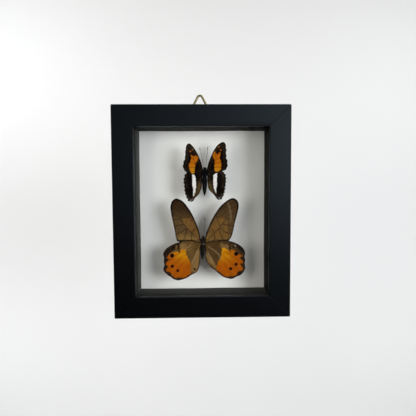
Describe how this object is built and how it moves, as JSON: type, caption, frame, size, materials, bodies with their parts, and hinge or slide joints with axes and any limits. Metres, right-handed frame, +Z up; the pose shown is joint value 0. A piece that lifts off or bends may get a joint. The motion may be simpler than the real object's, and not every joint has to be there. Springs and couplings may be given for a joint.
{
  "type": "framed butterfly specimen",
  "caption": "Deep black box frame with a glass front and butterflies spread over a white card, hung by a triangular brass ring that turns in a strap on the top rail.",
  "frame": {"origin": "the nail seat: the point inside the hanger ring's top corner where the ring bears on a nail or hook", "axes": "+Z up, +X to the right of someone who looks at the glass, +Y from the glass towards the wall"},
  "size_m": [0.127, 0.0365, 0.1673],
  "materials": {
    "frame_black": "satin",
    "clear_glass": "polished",
    "spacer_black": "matte",
    "card_white": "matte",
    "hardboard": "matte",
    "tab_steel": "satin",
    "hanger_brass": "satin",
    "post_white": "satin",
    "dark_wing": "matte",
    "brown_wing": "matte",
    "orange_wing": "matte",
    "insect_body": "matte"
  },
  "bodies": {
    "case": {"frame_rail_top": "frame_black", "frame_rail_bottom": "frame_black", "frame_stile_left": "frame_black", "frame_stile_right": "frame_black", "front_glass": "clear_glass", "spacer_top": "spacer_black", "spacer_bottom": "spacer_black", "spacer_left": "spacer_black", "spacer_right": "spacer_black", "backing_card": "card_white", "back_panel": "hardboard", "retaining_tab_1": "tab_steel", "retaining_tab_2": "tab_steel", "retaining_tab_3": "tab_steel", "retaining_tab_4": "tab_steel", "hanger_strap": "hanger_brass", "hanger_screw": "hanger_brass", "upper_post": "post_white", "lower_post": "post_white", "upper_body": "insect_body", "lower_body": "insect_body", "upper_antenna_left": "insect_body", "upper_antenna_right": "insect_body", "lower_antenna": "insect_body", "upper_forewing_left": "dark_wing", "upper_forewing_right": "dark_wing", "upper_hindwing_left": "dark_wing", "upper_hindwing_right": "dark_wing", "lower_forewing_left": "brown_wing", "lower_forewing_right": "brown_wing", "lower_hindwing_left": "orange_wing", "lower_hindwing_right": "orange_wing"},
    "ring": {"hanger_ring": "hanger_brass"}
  },
  "joints": [
    {"name": "ring_hinge", "type": "hinge", "parent": "case", "child": "ring", "pos_m": [0, 0, -0.0169], "axis": [1, 0, 0], "range_deg": [-170, 15]}
  ]
}
